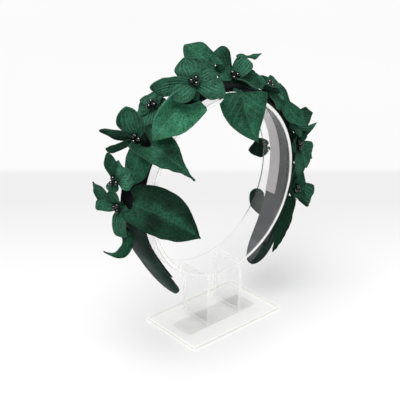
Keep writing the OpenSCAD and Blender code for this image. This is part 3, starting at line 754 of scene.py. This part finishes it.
def flower(name, values, index):
    """One flower: five petals, a gathered neck and a domed heart."""
    at, y, lift, azimuth, elevation, _ = values
    axes = face_axes(azimuth, elevation)
    centre, start = seat(at, y, lift), foot(at, y, lift)
    parts = []
    for i, petal in enumerate(PETALS[name]):
        b = petal_row(name, petal, i)
        spin = math.radians(b["spin"])
        out = math.cos(spin) * axes[1] + math.sin(spin) * axes[2]
        parts.append(blade(b, axes, centre + PETAL_ROOT * out, "petal", *PETAL_CELLS,
                           1000 + 31 * index + 7 * i))
    shares = np.array([0.0, 0.15, 0.4, 0.7, 0.9, 1.0])
    neck = tube(start + shares[:, None] * (centre + 0.6 * MM * axes[0] - start),
                NECK_R * np.array([1.03, 0.95, 0.82, 0.88, 0.98, 0.8]), 40, 8, 0.05, under=0.6)
    rise = np.array([0.0, 0.5, 1.1, 1.6, 1.9]) * MM
    heart = tube(centre + rise[:, None] * axes[0],
                 NECK_R * np.array([0.9, 0.86, 0.7, 0.42, 0.1]), 30, 5, 0.1, under=0.2)
    build("blossom_" + name, parts + [neck, heart], ["petal"], ["flower_" + name])


def drilled_bead(centre, bore_way):
    """A round bead with a drilled hole through it."""
    bore, sides = 0.42 * MM, 28
    rim = math.asin(bore / BEAD_R)
    depth = 0.9 * BEAD_R * math.cos(rim)
    profile = [(BEAD_R * math.cos(a), BEAD_R * math.sin(a)) for a in np.linspace(rim, math.pi - rim, 17)]
    profile += [(-depth, bore * 0.8), (0, bore * 0.75), (depth, bore * 0.8)]
    aside = np.cross(bore_way, (0.3, 0.5, 0.81))
    aside /= np.linalg.norm(aside)
    angle = np.arange(sides) * 2 * np.pi / sides
    spokes = np.cos(angle)[:, None] * aside + np.sin(angle)[:, None] * np.cross(bore_way, aside)
    dull = np.repeat([float(r < 1.3 * bore) for _, r in profile], sides)
    return Part([centre + h * bore_way + r * spokes for h, r in profile],
                looped_faces(len(profile), sides), cut=dull)


def beads(name, values, index):
    """Three beads in the heart of a flower, each turned its own way."""
    at, y, lift, azimuth, elevation, turned = values
    axes = face_axes(azimuth, elevation)
    centre = seat(at, y, lift) + BEAD_RISE * axes[0]
    reach = (2 * BEAD_R + CONTACT) / math.sqrt(3)
    draw = np.random.default_rng(400 + index)
    parts = []
    for j in range(3):
        turn = math.radians(turned + 120 * j)
        aside = math.cos(turn) * axes[1] + math.sin(turn) * axes[2]
        way = axes[0] * draw.uniform(0.2, 0.9) + draw.normal(size=3) * 0.6
        parts.append(drilled_bead(centre + reach * aside, way / np.linalg.norm(way)))
    build("bead_trio_" + name, parts, ["bead"], ["beads_" + name])


# Band, lining and ribbon

def taper(s):
    """Share of the band's full width at arc length s."""
    t = fade(min(s - S_LEFT, S_RIGHT - s), TIP_LEN, 0)
    return max(0.06, math.sqrt(max(0, 1 - t ** 2.4)))


def power(value, exponent):
    return np.sign(value) * np.abs(value) ** exponent


def band():
    """The padded band: a soft flat-oval section swept along its line, seamed and half wrapped."""
    sides, tip_rows, rows = 48, 14, 170
    from_tip = np.concatenate([TIP_LEN * (1 - np.cos(np.pi / 2 * np.arange(tip_rows + 1) / tip_rows)),
                               TIP_SHADOW_LINE + np.array([-0.9, -0.3, 0.3, 0.9]) * MM])
    between = np.linspace(S_LEFT + TIP_LEN, S_RIGHT - TIP_LEN, rows)[1:-1]
    angle = (np.arange(sides) + 0.5) * 2 * np.pi / sides
    below = np.sin(angle) < 0
    rings, seam_and_shadow_lines, wraps, lined = [], [], [], []
    for s in np.sort(np.concatenate([S_LEFT + from_tip, between, S_RIGHT - from_tip])):
        point, normal = band_at(s)
        at, to_tip, width = math.degrees(s / BAND_R), min(s - S_LEFT, S_RIGHT - s), taper(s) * BAND_W / 2
        wrap = fade(abs(at), WRAP_END, WRAP_FULL)
        aside = width * power(np.cos(angle), 0.6)
        thick = (0.5 + 0.5 * taper(s)) * np.where(below, BAND_T / 2, outer_at(at) + WRAP_T * wrap)
        seam = np.exp(-((np.abs(aside) - (width - SEAM_IN)) / SEAM_W) ** 2) * below
        rise = thick * power(np.sin(angle), 0.7) + SEAM_DEEP * seam * taper(s)
        rings.append(point + rise[:, None] * normal)
        rings[-1][:, 1] = BAND_Y + aside
        # Darker along the seams, and along a painted shadow line where the lining ends near each tip
        seam_and_shadow_lines.append(np.maximum(seam, math.exp(-((to_tip - TIP_SHADOW_LINE) / SEAM_W) ** 2) * below))
        wraps.append(wrap * (np.sin(angle) > -0.5))
        lined.append((to_tip < TIP_LINED) * (np.sin(angle) < -0.4) * (aside > -0.4 * width))
    points = np.array(rings)
    away = points - points.mean(1, keepdims=True)
    away /= np.linalg.norm(away, axis=2, keepdims=True)
    soft = 0.16 * MM * ripple(points, 16 * MM, 71) + 0.07 * MM * ripple(points, 5 * MM, 72)
    part = Part(points + soft[..., None] * away, capped_faces(len(rings), sides), rib=np.ravel(seam_and_shadow_lines),
                wrap=np.ravel(wraps), lined=np.ravel(lined).astype(float))
    made = build("padded_band", [part], ["band"], ["band"])


def strip(s0, s1, y, half, below, thick, rows, cells, round_end):
    """A cloth strip under the band, with soft edges and slightly narrower ends."""
    run, cols = np.linspace(s0, s1, rows + 1), np.linspace(-1, 1, cells + 1)
    line, normal = (np.repeat(np.array(a), len(cols), axis=0) for a in zip(*map(band_at, run)))
    near_end = fade(np.minimum(run - s0, s1 - run), 0, round_end)
    middle = line - (below + thick / 2) * normal
    middle[:, 1] = y + np.outer(half * (1 - 0.06 * (1 - near_end) ** 2), cols).ravel()
    crown = 0.5 * thick * (1 - 0.25 * np.abs(np.tile(cols, len(run))) ** 8)[:, None] * normal
    top, rim, layer = grid_faces(len(run), len(cols)), grid_rim(len(run), len(cols)), len(middle)
    faces = np.concatenate([top, top[:, ::-1] + layer, walls(rim, rim + layer)]).tolist()
    return Part(np.concatenate([middle + crown, middle - crown]), faces,
                along=np.tile(np.repeat(run, len(cols)), 2), across=np.tile(cols * half, 2 * len(run)))


def lining():
    """The grey lining under the band, which stops short of its tips."""
    end, inset = 20 * MM, 2.5 * MM
    half = BAND_W / 2 - inset
    part = strip(S_LEFT + end, S_RIGHT - end, BAND_Y, half, BAND_T / 2 + LINING_GAP, LINING_T,
                 200, 20, 4 * MM)
    made = build("lining_cloth", [part], ["lining"], ["band_lining"])


def ribbon():
    """The bare ribbon on the lining."""
    start, stop = math.radians(22) * BAND_R, math.radians(113) * BAND_R
    middle, width, thick = BAND_Y + 4 * MM, 10 * MM, 0.3 * MM
    below = BAND_T / 2 + LINING_GAP + LINING_T + CONTACT
    part = strip(start, stop, middle, width / 2, below, thick, 90, 16, 1 * MM)
    made = build("ribbon_tape", [part], ["ribbon"], ["band_ribbon"])


# Stand

# Looks of the acrylic: tone, haze seen straight on and at a glancing angle, roughness, glow. The
# glow is painted light on the edges, legs, base sides and plate top; the 'line' tone is a painted
# dark line and the 'corner' tone a painted grey, for the dark reflections in the ring's edges
ACRYLIC = {
    "face": ((0.88, 0.89, 0.89, 1), 0.05, 0.6, 0.04, 0.0),
    "edge": ((0.99, 0.99, 0.95, 1), 0.78, 0.92, 0.15, 0.30),
    "corner": ((0.55, 0.56, 0.55, 1), 0.50, 0.80, 0.10, 0.0),
    "line": ((0.03, 0.04, 0.04, 1), 0.85, 0.90, 0.10, 0.0),
    "dim": ((0.99, 0.99, 0.97, 1), 0.28, 0.55, 0.15, 0.25),
    "side": ((0.86, 0.86, 0.80, 1), 0.80, 0.90, 0.15, 0.12),
    "plate": ((0.97, 0.97, 0.96, 1), 0.22, 0.60, 0.06, 0.20),
}
FACE, GLOWING_EDGE, PAINTED_CORNER, PAINTED_LINE, DIM, SIDE, PLATE = range(len(ACRYLIC))
SOFT, LINE_W = 0.4 * MM, 0.9 * MM


def rounded_box(centre, size, soft, faces, corner):
    """A box with rounded edges, and the finish of its x, y and z faces and of its edges."""
    steps, half = 2, np.array(size) / 2
    bend = soft * (1 - np.sin(np.radians(np.linspace(0, 90, steps + 1))))
    ticks = [np.concatenate([bend[::-1] - h, h - bend]) for h in half]
    cells = 2 * steps + 1
    seen, points, quads, finish = {}, [], [], []
    def vertex(key):
        if key not in seen:
            p = np.array([ticks[k][key[k]] for k in range(3)])
            core = np.clip(p, soft - half, half - soft)
            seen[key] = len(points)
            points.append(np.array(centre) + core + (p - core) * soft / np.linalg.norm(p - core))
        return seen[key]
    for axis, end, i, j in itertools.product(range(3), (0, cells), range(cells), range(cells)):
        quad = []
        for a, b in ((i, j), (i + 1, j), (i + 1, j + 1), (i, j + 1)):
            key = [end] * 3
            key[(axis + 1) % 3], key[(axis + 2) % 3] = a, b
            quad.append(vertex(tuple(key)))
        quads.append(quad if end else quad[::-1])
        finish.append(faces[axis] if i == j == steps else corner)
    return Part(points, quads, finish)


def quarter_turn(x, y, radius, start, steps):
    """The points of a rounded corner about x and y, from an angle in degrees."""
    angle = np.radians(start + np.linspace(0, 90, steps + 1))
    return list(zip(x + radius * np.cos(angle), y + radius * np.sin(angle)))


def ring():
    """The ring that carries the band, a flat hoop with polished, slightly rounded edges."""
    half, inner, outer = (LOOP_HI.y - LOOP_LO.y) / 2, RING_OUT - RING_WALL, RING_OUT
    steps, around = 2, 240
    section, kinds = [], []
    # Finish of each stretch of the section: the front face glows with painted light, the front corners have a
    # painted grey, and the inner rear corner with a strip beside it has a painted dark line
    for r, y, start, bent, flat in ((outer, half, 0, FACE, FACE), (inner, half, 90, PAINTED_LINE, FACE),
                                    (inner, -half, 180, PAINTED_CORNER, GLOWING_EDGE), (outer, -half, 270, PAINTED_CORNER, FACE)):
        inward = SOFT if r == inner else -SOFT
        section += quarter_turn(r + inward, y - math.copysign(SOFT, y), SOFT, start, steps)
        kinds += [bent] * steps + [PAINTED_LINE if bent == PAINTED_LINE else flat]
        if bent == PAINTED_LINE:
            section.append((inner, half - SOFT - LINE_W))
            kinds.append(flat)
    angle = np.arange(around) * 2 * np.pi / around
    rings = [np.stack([RING_X + r * np.sin(angle), np.full(around, RING_Y + y),
                       RING_Z + r * np.cos(angle)], -1) for r, y in section]
    # Where the painted glow of the edges and the painted dark line fade out, in degrees from the ring's top
    turned = np.degrees(angle)
    low = fade(turned, 158, 168) * fade(turned, 240, 220) + fade(turned, 0, 6) * fade(turned, 30, 24)
    rear = fade(turned, 122, 140) * fade(turned, 250, 230)
    faint = [0.9 * rear if PAINTED_LINE in (kinds[i - 1], kinds[i]) else 0.78 * low for i in range(len(kinds))]
    return Part(rings, looped_faces(len(kinds), around), np.repeat(kinds, around).tolist(),
                faint=np.concatenate(faint))


def leg(side):
    """One upright leg, cut to the ring's curve at its top."""
    x0 = RING_X + side * LEG_GAP / 2
    top = RING_Z - math.sqrt(RING_OUT ** 2 - (x0 - RING_X) ** 2)
    part = rounded_box((x0, RING_Y, (LOOP_LO.z + top) / 2),
                       (RING_WALL, LOOP_HI.y - LOOP_LO.y, top - LOOP_LO.z), SOFT, (FACE, DIM, DIM), DIM)
    high = part.points[:, 2] > (LOOP_LO.z + top) / 2
    x = part.points[high, 0] - RING_X
    part.points[high, 2] += RING_Z - np.sqrt(RING_OUT ** 2 - x ** 2) - top
    return part


def base():
    """The base plate, with the pad's recess in its underside."""
    part = rounded_box((BASE_HI + BASE_LO) / 2, BASE_HI - BASE_LO, SOFT, (SIDE, SIDE, PLATE), GLOWING_EDGE)
    under = next(k for k, f in enumerate(part.faces) if part.points[list(f), 2].max() < 1e-9)
    outer = np.array(part.faces.pop(under))
    part.finish.pop(under)
    half = (PAD_HI - PAD_LO) / 2
    recess = np.copysign((half.x + CONTACT, half.y + CONTACT, 0), part.points[outer])
    rim = len(part.points) + np.arange(4)
    part.points = np.concatenate([part.points, recess, recess + (0, 0, PAD_HI.z + CONTACT)])
    part.faces += np.concatenate([walls(rim, outer), walls(rim + 4, rim), [rim + 4]]).tolist()
    part.finish += [FACE] * 9
    return part


def pad():
    """The soft pad in the base, with rounded corners and soft rims."""
    corner, steps = 3 * MM, 8
    half = (PAD_HI - PAD_LO) / 2
    outline, rings = [], []
    for sx, sy, start in ((1, 1, 0), (-1, 1, 90), (-1, -1, 180), (1, -1, 270)):
        outline += quarter_turn(sx * (half.x - corner), sy * (half.y - corner), corner, start, steps)
    for z, share in ((0, 0.02), (0, 0.5), (0, 0.985), (0.25, 1.0), (0.75, 1.0), (1, 0.985),
                     (1, 0.5), (1, 0.02)):
        rings.append(np.column_stack([share * np.array(outline), np.full(len(outline), z * PAD_HI.z)]))
    return Part(rings, capped_faces(len(rings), len(outline)))


def stand():
    """The ring with its legs, the base plate and its pad."""
    hoop = build("acrylic_ring", [ring(), leg(-1), leg(1)], list(ACRYLIC), ["stand_loop"])
    plate = build("acrylic_base", [base()], list(ACRYLIC), ["stand_base"])
    foam = build("base_pad", [pad()], ["pad"], ["stand_pad"])
    for made in (hoop, plate, foam):
        made.data.set_sharp_from_angle(angle=math.radians(30))


# Room

def floor():
    """A wide pale floor of lit paper, softly shaded behind the stand, a little below its underside."""
    reach, drop = 30.0, 0.05 * MM
    mesh = bpy.data.meshes.new("floor")
    corners = [(x * reach, y * reach, -drop) for x, y in ((-1, -1), (1, -1), (1, 1), (-1, 1))]
    mesh.from_pydata(corners, [], [range(4)])
    made, tree, shader = material("floor_paper", Roughness=0.9, Specular_IOR_Level=0.1,
                                  Emission_Color=(1, 1, 1, 1), Emission_Strength=0.30)
    where = place_mm(tree)
    cloud = noise(tree, where, 0.002, 2.0)
    colour = mix(tree, ramp(tree, cloud, 0.3, 0.7), (0.68, 0.68, 0.68, 1), (0.70, 0.70, 0.70, 1))
    behind = node(tree, "ShaderNodeVectorMath", {"operation": "DOT_PRODUCT"}, _0=where,
                  _1=(0.656, 0.754, 0.0)).outputs["Value"]
    # The shade grows from 30 to 230 mm behind the stand's middle and thins out from 272 to 296 mm
    shade = times(tree, ramp(tree, behind, 30, 230), ramp(tree, behind, 272, 296, 1, 0.35))
    colour = mix(tree, times(tree, shade, 0.2), colour, (0, 0, 0, 1))
    tree.links.new(colour, shader.inputs["Base Color"])
    mesh.materials.append(made)
    ground = add_object("floor", mesh)


def lamp(name, kind, aim, **settings):
    """A light with its settings, shining along aim."""
    data = bpy.data.lights.new(name, kind)
    for key, value in settings.items():
        setattr(data, key, value)
    return add_object(name, data, aim)


def lights():
    """A white room, a wide soft light from above on the left, and a small one for glints."""
    scene = bpy.context.scene
    scene.world = bpy.data.worlds.new("room")
    scene.world.use_nodes = True
    sky = scene.world.node_tree.nodes["Background"]
    sky.inputs["Color"].default_value = (1, 1, 1, 1)
    sky.inputs["Strength"].default_value = 0.36
    scene.view_settings.view_transform = "Standard"
    lamp("key", "SUN", (0.35, 0.12, -1.0), angle=math.radians(48), energy=2.3)
    glint = lamp("glint", "AREA", (0.16, 0.05, -0.5), shape="RECTANGLE", size=0.30, size_y=0.18, energy=6.0)
    glint.location = (-0.16, -0.05, 0.65)
    glint.visible_diffuse = False


make_camera()
FINISH = {
    "leaf": suede("suede_leaf", rgb(58, 122, 91), rgb(7, 44, 29), rgb(44, 64, 55), rgb(96, 138, 116)),
    "petal": suede("suede_petal", rgb(64, 124, 96), rgb(8, 40, 28), rgb(28, 54, 42), rgb(92, 134, 112)),
    "band": smooth_leather("band_leather", rgb(44, 66, 58), rgb(26, 42, 37)),
    "lining": woven("lining_weave", rgb(72, 74, 76), rgb(50, 52, 55), 1.6, 0.1),
    "ribbon": woven("ribbon_satin", rgb(226, 221, 222), rgb(196, 190, 193), 2.2, 0.3),
    "bead": bead_black(),
    "pad": pad_grey(),
} | {kind: acrylic("acrylic_" + kind, *look) for kind, look in ACRYLIC.items()}
floor()
lights()
stand()
band()
lining()
ribbon()
for index, (name, values) in enumerate(LEAVES.items()):
    leaf(name, values, index)
for index, (name, values) in enumerate(FLOWERS.items()):
    flower(name, values, index)
    beads(name, values, index)
